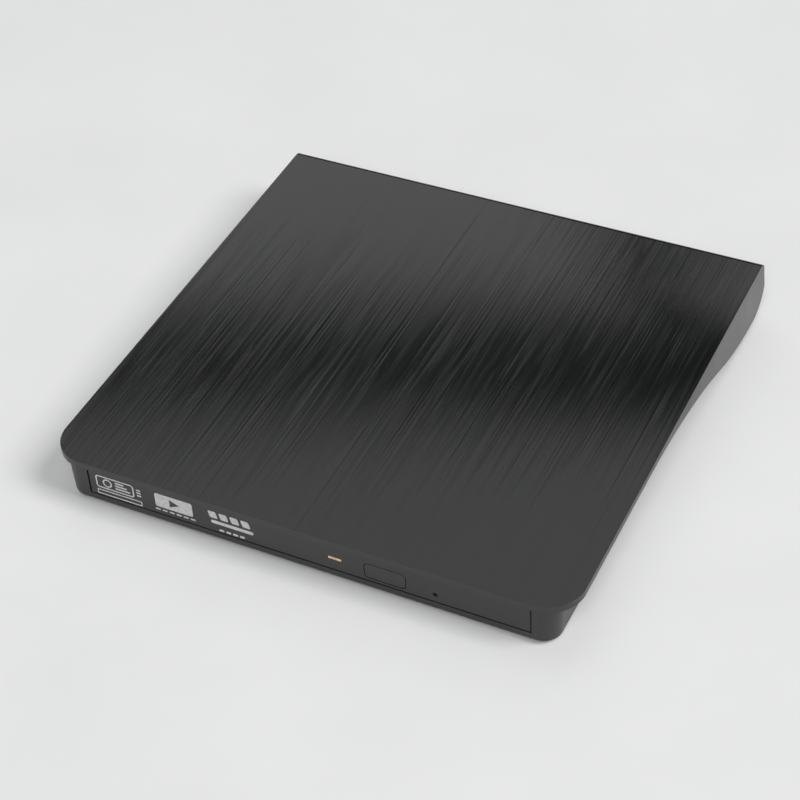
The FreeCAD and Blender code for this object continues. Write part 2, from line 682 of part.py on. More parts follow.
def rail_guides():
    """Plastic channels fixed to the chassis walls, and the steel rails that run in them."""
    outer = "drive_half - sheet_thick"
    face = "tray_half + slide_gap * 2 + rail_thick"
    for name, side in (("left", -1), ("right", 1)):
        span = (face, outer) if side > 0 else (f"-({outer})", f"-({face})")
        web = box(span, ("chassis_front + 2", "52"), ("rail_low - 1", "rail_high + 1"))
        inner = (f"({face}) - 0.5", face) if side > 0 else (f"-({face})", f"-({face}) + 0.5")
        lips = [box(inner, ("chassis_front + 2", "52"), span_z)
                for span_z in (("rail_low - 1", "rail_low - slide_gap"),
                               ("rail_high + slide_gap", "rail_high + 1"))]
        keep(fuse(web, *lips), f"rail_guide_{name}", "drive")
        near, far = "tray_half + slide_gap", "tray_half + slide_gap + rail_thick"
        across = (near, far) if side > 0 else (f"-({far})", f"-({near})")
        bar = box(across, ("chassis_front + 1", "chassis_front + 1 + rail_long"),
                  ("rail_low", "rail_high"))
        slot = box((f"({across[0]}) - 1", f"({across[1]}) + 1"),
                   ("chassis_front + 12", "chassis_front + 40"),
                   about("(rail_low + rail_high) / 2", "0.5"))
        keep(cut(bar, slot), f"slide_rail_{name}", "drive")


# ---- drive: tray ---------------------------------------------------------------------------


def disc_tray():
    """Moulded tray with the disc recess above and the mechanism's bay below."""
    tray = body()
    span = ("tray_front", "tray_back")
    pad(tray, sketch(tray, "XY_Plane", rectangle(both("tray_half"), span), offset="tray_low"),
        "tray_top - tray_low")
    notch = rectangle(("-tray_half - 1", "-28"), ("55", "tray_back + 1"))
    pocket(tray, sketch(tray, "XY_Plane", notch, offset="tray_low"), "tray_top", back=True)
    dish = ("0", "0", "recess")
    pocket(tray, sketch(tray, "XY_Plane", dish, offset="tray_floor"), "4", back=True)
    ring = ("0", "0", "small_recess")
    pocket(tray, sketch(tray, "XY_Plane", ring, offset="tray_floor - 0.3"), "1", back=True)
    thumbs = [(f"{side} * thumb_x", f"{side} * thumb_y", "thumb") for side in (-1, 1)]
    pocket(tray, sketch(tray, "XY_Plane", *thumbs, offset="tray_floor"), "4", back=True)
    bay = rectangle(both("tray_half - tray_wall"),
                    ("tray_front + tray_wall", "tray_back - tray_wall"))
    pocket(tray, sketch(tray, "XY_Plane", bay, offset="tray_floor - floor_thick"), "6")
    under = rectangle(("-tray_half - 1", "-10"), ("43", "tray_back + 1"))
    pocket(tray, sketch(tray, "XY_Plane", under, offset="3.6"), "6")
    pocket(tray, sketch(tray, "XY_Plane", path_window("window_half"), offset="1"), "8", back=True)
    hub_hole = ("0", "0", "table_radius + 1.8")
    pocket(tray, sketch(tray, "XY_Plane", hub_hole, offset="1"), "8", back=True)
    switch = rectangle(about("button_x", "3"), ("tray_front - 1", "tray_front + tray_wall + 1"))
    pocket(tray, sketch(tray, "XY_Plane", switch, offset="6"), "6")
    corner = (value("tray_half"), value("tray_back"))
    dress(tray, "Fillet", "1.5", lambda edge: upright(edge, corner))
    keep(tray, "disc_tray", "drive")


def path_window(half):
    """Slot along the pickup's path, from beside the hub to the tray's corner."""
    near, far = "window_near", "window_far"
    corners = ((near, f"-{half}"), (far, f"-{half}"), (far, half), (near, half))
    return [(f"{x} * cos(diagonal) - ({y}) * sin(diagonal)",
             f"{x} * sin(diagonal) + ({y}) * cos(diagonal)") for x, y in corners]


def tray_bezel():
    """Front panel of the tray, with the openings for the button, the light and the pin hole."""
    high = "drive_high"
    panel = body()
    face = rectangle(both("bezel_half"), ("bezel_low", high))
    pad(panel, sketch(panel, "XZ_Plane", face, offset="-tray_front"), "tray_front - bezel_front")
    opening = rounded("button_x", "button_half + button_gap", "button_low - button_gap",
                      "button_top + button_gap", "button_corner + button_gap")
    pocket(panel, sketch(panel, "XZ_Plane", opening, offset="-bezel_front"), "button_deep + 1")
    stem = rectangle(about("button_x", "2.2"), about("(button_low + button_top) / 2", "1.2"))
    pocket(panel, sketch(panel, "XZ_Plane", stem, offset="-bezel_front"), "6")
    light = rectangle(about("light_x", "light_half"), about("light_z", "light_tall"))
    pocket(panel, sketch(panel, "XZ_Plane", light, offset="-bezel_front"), "6")
    pin = ("hole_x", "hole_z", "hole_radius")
    pocket(panel, sketch(panel, "XZ_Plane", pin, offset="-bezel_front"), "6")
    front = value("bezel_front") + 1e-3
    rim = value("bezel_half") - 1e-3
    dress(panel, "Chamfer", "0.25",
          lambda edge: edge.BoundBox.YMax < front and outer_rim(edge, rim))
    keep(panel, "tray_bezel", "drive")


def outer_rim(edge, rim):
    """Whether an edge of the bezel is on its outline."""
    return edge.Length > 2 * rim - 1 or abs(edge.BoundBox.Center.x) > rim


def tray_electronics():
    """Board behind the bezel, its switch and the light guide."""
    board = box(("2", "29"), ("tray_front + tray_wall", "tray_front + 7"), ("1.5", "2.1"))
    keep(board, "front_board", "drive")
    switch = box(about("button_x", "2.4"), ("tray_front + 2.25", "tray_front + 5.6"),
                 ("2.1", "4.6"))
    keep(switch, "eject_switch", "drive")
    guide = box(about("light_x", "light_half"), ("bezel_front", "tray_front"),
                about("light_z", "light_tall"))
    keep(guide, "light_guide", "drive")


def tray_underside():
    """Sheet that closes the mechanism's bay."""
    low = "tray_low - 0.4"
    cover = body()
    outline = rectangle(("-52", "tray_half - 0.5"), ("tray_front + 0.5", "42"))
    pad(cover, sketch(cover, "XY_Plane", outline, offset=low), "0.4")
    vents = [rectangle(about(f"{place * 8 - 40}", "2.5"), about("20", "9")) for place in range(4)]
    pocket(cover, sketch(cover, "XY_Plane", *vents, offset=low), "0.4", back=True)
    keep(cover, "tray_bottom_cover", "drive")


def deck(inner_end):
    """Outline of the mechanism's plates, cut back at the tray's corner."""
    return [(inner_end, "-rod_y - 2"), ("rod_end", "-rod_y - 2"), ("rod_end + 2", "-rod_y"),
            ("rod_end + 2", "rod_y"), ("screw_end", "screw_y + 2"), (inner_end, "screw_y + 2")]


def traverse():
    """Frame that carries the spindle, the guide rods and the feed motor."""
    frame = body()
    path = rectangle(("rotor_radius + 3", "rod_end - 3"), both("rod_y - 2.5"))
    motor_slot = rectangle(("-5", "5"), about("screw_y", "motor_radius + 0.1"))
    plate = sketch(frame, "XY_Plane", deck("-17.5"), path, motor_slot, offset="plate_low")
    pad(frame, plate, "plate_sheet")
    blocks = [rectangle(about(x, "1.3"), about(y, "1.6"))
              for x in ("rod_start", "rod_end - 0.2") for y in ("-rod_y", "rod_y")]
    holders = [rectangle(span, about("screw_y", "1.6"))
               for span in (("5", "6"), ("screw_end - 1.6", "screw_end"))]
    stands = sketch(frame, "XY_Plane", *blocks, *holders, offset="plate_low")
    pad(frame, stands, "cover_z - plate_low")
    channels = [(f"{side} * rod_y", "rod_z", "rod_radius") for side in (-1, 1)]
    pocket(frame, sketch(frame, "YZ_Plane", *channels, offset="rod_start - 0.5"),
           "rod_end - rod_start + 1", back=True)
    bore = ("screw_y", "rod_z", "screw_radius + bearing_fit")
    pocket(frame, sketch(frame, "YZ_Plane", bore, offset="4"), "screw_end", back=True)
    keep(frame, "traverse_frame", "traverse")
    span = ("rod_start - 0.5", "rod_end + 0.5")
    rods = [rod("rod_radius", span, (f"{side} * rod_y", "rod_z"), "x") for side in (-1, 1)]
    keep(group(*rods), "guide_rods", "traverse")
    motor = rod("motor_radius", ("-4.5", "5"), ("screw_y", "rod_z"), "x")
    keep(motor, "feed_motor", "traverse")
    cover = body()
    lens_slot = rectangle(("19.5", "63"), both("6"))
    outline = deck("table_radius + 1.4")
    pad(cover, sketch(cover, "XY_Plane", outline, lens_slot, offset="cover_z"), "cover_sheet")
    keep(cover, "traverse_cover", "traverse")
    dampers = [rod("1.5", ("1.9", "tray_floor - floor_thick"), ("-15.5", y))
               for y in ("-rod_y", "rod_y")]
    keep(group(*dampers), "rubber_dampers", "traverse")


def spindle():
    """Motor base on the frame; rotor, turntable and hub that turn with the disc."""
    base = fuse(rod("9", ("1.9", "2.3"), ("0", "0")), rod("2.4", ("1.9", "3"), ("0", "0")))
    keep(base, "spindle_base", "drive")
    can = cut(rod("rotor_radius", ("2.6", "5.2"), ("0", "0")),
              rod("rotor_radius - 0.8", ("2.5", "4.4"), ("0", "0")))
    keep(fuse(can, rod("1.2", ("3.1", "5.2"), ("0", "0"))), "spindle_rotor", "drive")
    half = "hub_radius"
    table = body()
    turned = [("0", "5.2"), ("table_radius", "5.2"), ("table_radius", "disc_seat"),
              (half, "disc_seat"), (half, "hub_top - 0.7"), (f"{half} - 1", "hub_top"),
              ("2", "hub_top"), ("2", "hub_top - 0.6"), ("0", "hub_top - 0.6")]
    revolve(table, sketch(table, "XZ_Plane", turned))
    keep(table, "turntable", "drive")


def pickup():
    """Laser pickup: its body rides the rods, and the nut arm follows the lead screw."""
    middle = "lens_start"
    along = about(middle, "sled_half")
    deep = ("sled_low", "sled_top")
    carriage = cut(
        fuse(box(along, both("rod_y - 2.2"), deep),
             box(about(middle, "4.5"), both("sled_wide"), deep)),
        *[rod("rod_radius + bearing_fit", about(middle, "8"), (f"{side} * rod_y", "rod_z"), "x")
          for side in (-1, 1)],
        rod("2.6", ("4", "5"), (middle, "0")),
    )
    keep(carriage, "pickup_sled", "traverse")
    holder = cut(box(about(middle, "3.2"), both("4.6"), ("sled_top", "sled_top + 0.2")),
                 rod("2.2", ("4", "6"), (middle, "0")))
    keep(holder, "lens_holder", "traverse")
    keep(rod("1.9", ("4", "5.2"), (middle, "0")), "objective_lens", "traverse")
    arm = cut(box(about(middle, "2.2"), ("sled_wide", "screw_y + 1.7"), deep),
              rod("screw_radius + bearing_fit", about(middle, "4"), ("screw_y", "rod_z"), "x"))
    keep(arm, "sled_nut", "traverse")
    screw = rod("screw_radius", ("5.1", "screw_end - 0.3"), ("screw_y", "rod_z"), "x")
    keep(screw, "lead_screw", "traverse")


def controls():
    """Eject button in the bezel, and the latch that holds the tray shut."""
    button = body()
    inner_face = "-bezel_front - button_deep"
    face = rounded("button_x", "button_half", "button_low", "button_top", "button_corner")
    pad(button, sketch(button, "XZ_Plane", face, offset=inner_face), "button_deep")
    stem = rectangle(about("button_x", "1.8"), about("(button_low + button_top) / 2", "0.9"))
    pad(button, sketch(button, "XZ_Plane", stem, offset=inner_face),
        f"tray_front + 1.4 {inner_face}", back=True)
    keep(button, "eject_button", "drive")
    lever = body()
    hook = [("-1.1", "0"), ("0.9", "0"), ("0.9", "7.8"), ("-4.1", "7.8"), ("-4.1", "7"),
            ("-3.4", "6.5"), ("-1.1", "6.5")]
    pad(lever, sketch(lever, "XY_Plane", hook, offset="1.5"), "0.9")
    pad(lever, sketch(lever, "XY_Plane", ("0", "0", "1.4"), offset="1.5"), "1.2")
    pocket(lever, sketch(lever, "XY_Plane", ("0", "0", "0.6"), offset="1"), "3", back=True)
    keep(lever, "latch_lever", "latch")
    under = "tray_floor - floor_thick"
    keep(rod("0.55", ("tray_low", under), ("0", "0")), "latch_pivot", "latch")
    keep(box(("-47.5", "-39"), ("-58.5", "-53.5"), ("1.5", under)), "latch_solenoid", "drive")


# ---- build and write -----------------------------------------------------------------------

for make in (top_cover, base_shell, case_fasteners, bridge_electronics, drive_mounting,
             drive_chassis, drive_lid, drive_board, rail_guides, disc_tray, tray_bezel,
             tray_electronics, tray_underside, traverse, spindle, pickup, controls):
    make()
doc.recompute()

for item in doc.Objects:
    if "Invalid" in item.State or "Error" in item.State:
        raise RuntimeError(f"{item.Name} ({item.Label}) failed")

os.makedirs("parts", exist_ok=True)
for part in parts:
    if part.Shape.isNull() or not part.Shape.isValid():
        raise RuntimeError(f"{part.Label} has no valid shape")
    part.Shape.exportStep(f"parts/{part.Label}.step")
    print(part.Label, len(part.Shape.Solids), round(part.Shape.Volume, 1))
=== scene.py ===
import json
import math
import random

import bmesh
import bpy
from mathutils import Matrix, Vector

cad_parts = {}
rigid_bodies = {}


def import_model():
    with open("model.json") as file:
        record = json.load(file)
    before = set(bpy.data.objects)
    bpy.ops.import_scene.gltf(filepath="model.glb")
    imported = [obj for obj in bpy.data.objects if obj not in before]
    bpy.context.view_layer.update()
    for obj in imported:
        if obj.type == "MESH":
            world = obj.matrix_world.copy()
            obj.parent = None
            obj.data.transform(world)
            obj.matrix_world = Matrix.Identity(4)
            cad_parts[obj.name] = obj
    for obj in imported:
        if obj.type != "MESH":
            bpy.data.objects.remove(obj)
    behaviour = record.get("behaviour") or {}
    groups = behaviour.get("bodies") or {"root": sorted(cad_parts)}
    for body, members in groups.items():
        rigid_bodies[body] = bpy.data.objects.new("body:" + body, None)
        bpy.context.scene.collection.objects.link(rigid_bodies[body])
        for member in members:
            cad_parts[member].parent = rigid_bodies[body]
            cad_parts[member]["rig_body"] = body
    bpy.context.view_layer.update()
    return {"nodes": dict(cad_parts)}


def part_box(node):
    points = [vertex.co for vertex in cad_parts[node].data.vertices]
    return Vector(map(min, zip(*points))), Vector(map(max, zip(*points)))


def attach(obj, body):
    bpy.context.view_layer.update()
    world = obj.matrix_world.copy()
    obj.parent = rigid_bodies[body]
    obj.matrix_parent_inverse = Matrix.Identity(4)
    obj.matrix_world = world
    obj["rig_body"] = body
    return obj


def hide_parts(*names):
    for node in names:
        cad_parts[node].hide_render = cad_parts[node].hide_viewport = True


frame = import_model()
nodes = frame["nodes"]
MM = 0.001  # metres in a millimetre
random.seed(29)


# ---------------------------------------------------------------- camera

AZIMUTH = math.radians(28.2)
ELEVATION = math.radians(40.92)
ROLL = math.radians(-3.49)
DISTANCE = 575.1 * MM
AIM = Vector((-8.7, 3.37, -6.31)) * MM
SENSOR_WIDTH = 36.0
FOCAL_LENGTH = 91.89


def towards(azimuth, elevation):
    """The direction from the object to a camera: azimuth 0 is in front of it, 90 on its right."""
    flat = math.cos(elevation)
    return Vector((math.sin(azimuth) * flat, -math.cos(azimuth) * flat, math.sin(elevation)))


def make_camera():
    """A camera that looks at AIM, turned by ROLL about its own axis."""
    data = bpy.data.cameras.new("camera")
    data.sensor_width = SENSOR_WIDTH
    data.lens = FOCAL_LENGTH
    data.clip_start = 0.01
    data.clip_end = 100.0
    camera = bpy.data.objects.new("camera", data)
    bpy.context.scene.collection.objects.link(camera)
    back = towards(AZIMUTH, ELEVATION)
    turn = (-back).to_track_quat("-Z", "Y").to_matrix() @ Matrix.Rotation(ROLL, 3, "Z")
    camera.matrix_world = Matrix.Translation(AIM + back * DISTANCE) @ turn.to_4x4()
    bpy.context.scene.camera = camera


make_camera()


# ---------------------------------------------------------------- materials


class Finish:
    """One procedural material, built node by node in the object's own coordinates, in metres."""

    def __init__(self, name, metallic=0.0, specular=0.5):
        self.material = bpy.data.materials.new(name)
        self.material.use_nodes = True
        self.tree = self.material.node_tree
        self.shader = self.tree.nodes["Principled BSDF"]
        self.shader.inputs["Metallic"].default_value = metallic
        self.shader.inputs["Specular IOR Level"].default_value = specular
        self.place = self.node("TexCoord").outputs["Object"]

    def node(self, kind, inputs=None, **settings):
        """Adds a shader node. An input is a number or a colour, or the socket that feeds it."""
        made = self.tree.nodes.new("ShaderNode" + kind)
        for name, setting in settings.items():
            setattr(made, name, setting)
        for socket, given in (inputs or {}).items():
            if isinstance(given, bpy.types.NodeSocket):
                self.tree.links.new(given, made.inputs[socket])
            else:
                made.inputs[socket].default_value = given
        return made

    def stretched(self, stretch):
        """The object's coordinates, each times its own factor."""
        return self.node("VectorMath", {0: self.place, 1: stretch}, operation="MULTIPLY").outputs[0]

    def noise(self, size, detail=3.0, stretch=(1.0, 1.0, 1.0)):
        """Noise whose features are about that size, in millimetres."""
        inputs = {"Vector": self.stretched(stretch), "Scale": 1.0 / (size * MM),
                  "Detail": detail, "Roughness": 0.55}
        return self.node("TexNoise", inputs).outputs["Fac"]

    def hairs(self, width, spacing, length):
        """Straight lines along Y of about that width, that fade in and out over a spacing and a length."""
        across = self.node("SeparateXYZ", {0: self.place}).outputs["X"]
        inputs = {"W": self.times(across, 1.0 / (width * MM)), "Scale": 1.0, "Detail": 2.0, "Roughness": 0.6}
        line = self.node("TexNoise", inputs, noise_dimensions="1D").outputs["Fac"]
        slow = spacing / length
        strength = self.spread(self.noise(spacing, 2.0, (1.0, slow, slow)), 0.0, 1.0)
        return self.plus(self.times(self.plus(line, -0.5), strength), 0.5)

    def cells(self, size):
        """Distance from the middle of the nearest cell, for cells of about that size in millimetres."""
        inputs = {"Vector": self.place, "Scale": 1.0 / (size * MM)}
        return self.node("TexVoronoi", inputs, feature="F1").outputs["Distance"]

    def stripes(self, pitch, axis):
        """Even stripes across that axis, 0 to 1, a pitch in millimetres apart.

        A wave texture of scale s repeats every pi / 10 / s."""
        inputs = {"Vector": self.place, "Scale": math.pi / 10.0 / (pitch * MM)}
        return self.node("TexWave", inputs, bands_direction=axis, wave_profile="SIN").outputs["Fac"]

    def spread(self, factor, low, high, start=0.3, end=0.7):
        """Maps the stretch of a factor from start to end onto low to high, and clamps it there."""
        inputs = {"Value": factor, "From Min": start, "From Max": end, "To Min": low, "To Max": high}
        return self.node("MapRange", inputs).outputs["Result"]

    def blend(self, factor, first, second):
        """The first colour where the factor is 0 and the second where it is 1."""
        inputs = {0: factor, 6: first, 7: second}
        return self.node("Mix", inputs, data_type="RGBA", blend_type="MIX").outputs[2]

    def times(self, first, second):
        return self.node("Math", {0: first, 1: second}, operation="MULTIPLY").outputs[0]

    def plus(self, first, second):
        return self.node("Math", {0: first, 1: second}, operation="ADD").outputs[0]

    def edges(self, radius):
        """1 on hard edges, within that radius in millimetres, and 0 on flat faces."""
        rounded = self.node("Bevel", {"Radius": radius * MM}, samples=4).outputs["Normal"]
        flat = self.node("NewGeometry").outputs["Normal"]
        facing = self.node("VectorMath", {0: rounded, 1: flat}, operation="DOT_PRODUCT").outputs["Value"]
        return self.spread(facing, 1.0, 0.0, start=0.86, end=0.995)

    def colour(self, socket):
        self.tree.links.new(socket, self.shader.inputs["Base Color"])

    def roughness(self, socket):
        self.tree.links.new(socket, self.shader.inputs["Roughness"])

    def bump(self, height, depth):
        """Bump from a height of 0 to 1, that many millimetres deep. A second call adds to the first."""
        made = self.node("Bump", {"Height": height, "Distance": depth * MM, "Strength": 1.0})
        before = self.shader.inputs["Normal"].links
        if before:
            self.tree.links.new(before[0].from_socket, made.inputs["Normal"])
        self.tree.links.new(made.outputs["Normal"], self.shader.inputs["Normal"])


def grey(level, warmth=0.0):
    """A grey. Warmth raises its red and lowers its blue by that share."""
    return (level * (1.0 + warmth), level, level * (1.0 - warmth), 1.0)


def shade(colour, factor):
    """A colour made darker or lighter by a factor."""
    return tuple(min(1.0, part * factor) for part in colour[:3]) + (1.0,)


def moulded(name, colour, roughness, grain, depth, worn=2.2, uneven=0.12):
    """Moulded plastic or rubber: a fine eroded grain, faint flow patches, and paler rubbed edges.

    grain is its size and depth its bump, in millimetres. worn is how much paler its edges are,
    and uneven how far its colour strays."""
    made = Finish(name)
    patches = made.spread(made.noise(18.0, 4.0), 0.0, 1.0)
    speckle = made.noise(grain * 2.5, 2.0)
    base = made.blend(patches, shade(colour, 1 - uneven), shade(colour, 1 + uneven))
    base = made.blend(made.spread(speckle, 0.0, 0.35), base, shade(colour, 1.5))
    rubbed = made.times(made.edges(0.25), made.spread(made.noise(6.0, 5.0), 0.1, 0.75))
    made.colour(made.blend(rubbed, base, shade(colour, worn)))
    handled = made.spread(made.noise(28.0, 5.0), roughness - 0.05, roughness + 0.06)
    made.roughness(made.plus(handled, made.spread(speckle, -0.03, 0.04)))
    made.bump(made.noise(grain, 3.0), depth)
    return made.material


def metal(name, colour, roughness, grain=(1.0, 1.0, 1.0), fineness=0.6, depth=0.004,
          tarnish=0.7, worn=1.25):
    """Bare or plated metal: a drawn grain, dull tarnish patches and brighter edges."""
    made = Finish(name, metallic=1.0)
    lines = made.noise(fineness, 4.0, grain)
    patches = made.noise(11.0, 5.0)
    base = made.blend(made.spread(patches, 0.0, 1.0), shade(colour, tarnish), colour)
    base = made.blend(made.spread(lines, 0.0, 0.3), base, shade(colour, 0.8))
    made.colour(made.blend(made.times(made.edges(0.2), 0.7), base, shade(colour, worn)))
    drawn = made.spread(lines, roughness - 0.06, roughness + 0.08)
    made.roughness(made.plus(drawn, made.spread(patches, -0.04, 0.06)))
    made.bump(lines, depth)
    return made.material


def brushed_cover():
    """Dark brushed skin: straight hair lines from front to back that fade in and out on their way."""
    made = Finish("cover_brushed", metallic=1.0)
    hair = made.hairs(0.35, 1.5, 22.0)
    strands = made.hairs(0.8, 3.0, 30.0)
    bundles = made.hairs(2.2, 8.0, 60.0)
    coarse = made.plus(made.times(strands, 0.35), made.times(bundles, 0.3))
    mixed = made.plus(made.times(hair, 0.35), coarse)
    dark, pale = grey(0.063), grey(0.069)
    made.colour(made.blend(made.spread(mixed, 0.0, 1.0, 0.36, 0.64), dark, pale))
    made.roughness(made.spread(mixed, 0.08, 0.11, 0.35, 0.65))
    made.shader.inputs["Anisotropic"].default_value = 0.85
    across = made.node("Tangent", direction_type="UV_MAP", uv_map="brush").outputs["Tangent"]
    made.tree.links.new(across, made.shader.inputs["Tangent"])
    made.bump(hair, 0.020)
    made.bump(strands, 0.028)
    made.bump(bundles, 0.026)
    return made.material


def ink():
    """Pale printed ink, thin in places, with a fine tooth."""
    made = Finish("printed_ink")
    thin = made.noise(0.9, 4.0)
    made.colour(made.blend(made.spread(thin, 0.0, 1.0), grey(0.52), grey(0.68)))
    made.roughness(made.spread(made.noise(0.3, 2.0), 0.42, 0.6))
    made.bump(made.noise(0.12, 2.0), 0.004)
    return made.material


def amber_light():
    """A clouded amber light pipe with a faint painted glow."""
    made = Finish("amber_light")
    cloud = made.noise(1.8, 2.0)
    amber, cream = (0.50, 0.30, 0.15, 1.0), (0.74, 0.52, 0.32, 1.0)
    tone = made.blend(made.spread(cloud, 0.0, 1.0), amber, cream)
    made.colour(tone)
    # Painted glow: the pipe's own colour is fed into its emission, though no lamp lights it.
    made.tree.links.new(tone, made.shader.inputs["Emission Color"])
    made.shader.inputs["Emission Strength"].default_value = 0.22
    made.roughness(made.spread(made.noise(0.4, 2.0), 0.22, 0.42))
    made.bump(made.noise(0.5, 2.0), 0.004)
    return made.material


def circuit_board():
    """Green solder mask over copper tracks, which stand a little proud and look paler."""
    made = Finish("circuit_board")
    square = made.node("TexBrick", {"Vector": made.place, "Scale": 160.0, "Mortar Size": 0.02,
                                    "Color1": grey(0.0), "Color2": grey(1.0), "Mortar": grey(0.5)})
    tracks = made.spread(square.outputs["Fac"], 0.0, 1.0, 0.0, 1.0)
    dark, green, pale = (0.006, 0.050, 0.020, 1.0), (0.010, 0.075, 0.030, 1.0), (0.030, 0.125, 0.050, 1.0)
    mask = made.blend(made.spread(made.noise(3.0, 4.0), 0.0, 1.0), dark, green)
    made.colour(made.blend(tracks, mask, pale))
    made.roughness(made.spread(made.noise(0.5, 3.0), 0.28, 0.42))
    made.bump(tracks, 0.03)
    made.bump(made.noise(0.25, 2.0), 0.006)
    return made.material


def ribbon_film():
    """A flat cable: pale film over tinned tracks."""
    made = Finish("ribbon_film")
    tracks = made.stripes(0.5, "X")
    dull, cream, tin = (0.55, 0.52, 0.44, 1.0), (0.66, 0.63, 0.55, 1.0), (0.42, 0.40, 0.36, 1.0)
    film = made.blend(made.spread(made.noise(9.0, 4.0), 0.0, 1.0), dull, cream)
    made.colour(made.blend(made.spread(tracks, 0.0, 0.7), film, tin))
    made.roughness(made.spread(made.noise(1.4, 4.0), 0.24, 0.4))
    made.bump(tracks, 0.02)
    return made.material


def open_foam():
    """Soft open-cell foam, with painted shade down in its cells."""
    made = Finish("open_foam", specular=0.2)
    cells = made.cells(0.55)
    # Painted shade: the colour darkens towards the middle of each cell, where the pores lie in shadow.
    made.colour(made.blend(made.spread(cells, 0.0, 1.0, 0.1, 0.7), grey(0.012), grey(0.045)))
    made.roughness(made.spread(made.noise(2.0), 0.88, 1.0))
    made.bump(cells, 0.25)
    return made.material


def clear_lens():
    """Coated glass: a blue-violet bloom with light smudges."""
    made = Finish("coated_lens")
    smudge = made.noise(0.8, 4.0)
    blue, violet = (0.10, 0.13, 0.34, 1.0), (0.22, 0.20, 0.48, 1.0)
    made.colour(made.blend(made.spread(smudge, 0.0, 1.0), blue, violet))
    made.roughness(made.spread(smudge, 0.03, 0.12))
    made.shader.inputs["Transmission Weight"].default_value = 0.35
    made.shader.inputs["Coat Weight"].default_value = 0.8
    made.bump(made.noise(0.5, 2.0), 0.001)
    return made.material


def galvanised():
    """Zinc-plated sheet: rolled lines, faint spangle and patches of tarnish."""
    made = Finish("galvanised_sheet", metallic=1.0)
    rolled = made.noise(0.35, 3.0, (1.0, 0.02, 1.0))
    spangle = made.cells(2.6)
    stain = made.noise(14.0, 6.0)
    grey_zinc, pale_zinc = (0.42, 0.43, 0.44, 1.0), (0.56, 0.57, 0.58, 1.0)
    tarnish, bright_edge = (0.36, 0.36, 0.35, 1.0), (0.72, 0.72, 0.72, 1.0)
    base = made.blend(made.spread(spangle, 0.0, 1.0, 0.1, 0.6), grey_zinc, pale_zinc)
    base = made.blend(made.spread(stain, 0.0, 0.55), base, tarnish)
    made.colour(made.blend(made.times(made.edges(0.2), 0.8), base, bright_edge))
    made.roughness(made.plus(made.spread(rolled, 0.26, 0.38), made.spread(spangle, -0.04, 0.05)))
    made.bump(rolled, 0.006)
    return made.material


finishes = {
    "brushed": brushed_cover(),
    "cover": moulded("cover_satin", grey(0.024), 0.32, 0.10, 0.006),
    "base": moulded("base_textured", grey(0.022), 0.34, 0.22, 0.012),
    "bezel": moulded("bezel_satin", grey(0.024), 0.36, 0.10, 0.006),
    "button": moulded("button_satin", grey(0.025), 0.34, 0.09, 0.005),
    "tray": moulded("tray_matt", grey(0.017), 0.48, 0.16, 0.012),
    "hub": moulded("hub_acetal", grey(0.016), 0.30, 0.08, 0.003),
    "rubber": moulded("foot_rubber", grey(0.014), 0.78, 0.16, 0.020, worn=2.8),
    "damper": moulded("damper_rubber", grey(0.020), 0.70, 0.20, 0.015),
    "chip": moulded("chip_epoxy", grey(0.012), 0.55, 0.08, 0.006, worn=1.6),
    "connector": moulded("connector_nylon", grey(0.018), 0.45, 0.12, 0.006),
    "acetal": moulded("rail_acetal", grey(0.62, 0.02), 0.38, 0.12, 0.005, worn=1.08, uneven=0.05),
    "optic_frame": moulded("optic_frame", (0.030, 0.032, 0.040, 1.0), 0.42, 0.10, 0.005),
    "painted": moulded("painted_cover", grey(0.018), 0.44, 0.07, 0.006, worn=4.0),
    "sheet": galvanised(),
    "screw": metal("blackened_screw", grey(0.10), 0.38, fineness=0.3, tarnish=0.6, worn=3.2),
    "rod": metal("polished_steel", grey(0.62), 0.16, grain=(0.3, 0.3, 0.3), fineness=0.25, depth=0.001),
    "rotor": metal("turned_steel", grey(0.55), 0.24, grain=(1.0, 1.0, 0.1), fineness=0.2, depth=0.002),
    "cast": metal("cast_zinc", grey(0.38), 0.46, fineness=0.35, depth=0.02, tarnish=0.8),
    "plated": metal("nickel_plate", grey(0.60, 0.03), 0.24, fineness=0.4, depth=0.002),
    "gold": metal("gold_contact", (0.80, 0.55, 0.20, 1.0), 0.22, fineness=0.2, depth=0.002),
    "board": circuit_board(),
    "ribbon": ribbon_film(),
    "foam": open_foam(),
    "lens": clear_lens(),
    "light": amber_light(),
    "ink": ink(),
    "label": moulded("label_film", grey(0.16), 0.38, 0.10, 0.002, worn=1.2, uneven=0.05),
    "copper": metal("copper_winding", (0.72, 0.34, 0.16, 1.0), 0.30, fineness=0.1, depth=0.01),
}


# ---------------------------------------------------------------- mesh helpers


def add_piece(name, mesh, body, finish, replaced=()):
    """Makes a mesh into a piece that rides on a body, and stands for the CAD nodes that it replaces."""
    piece = bpy.data.objects.new(name, mesh)
    bpy.context.scene.collection.objects.link(piece)
    if not mesh.materials:
        mesh.materials.append(finishes[finish])
    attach(piece, body)
    if replaced:
        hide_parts(*replaced)
    return piece


def soften(shape, sharpest=30.0):
    """Smooth faces with a crease left wherever two faces meet sharply."""
    for face in shape.faces:
        face.smooth = True
    for edge in shape.edges:
        edge.smooth = len(edge.link_faces) == 2 and edge.calc_face_angle() < math.radians(sharpest)


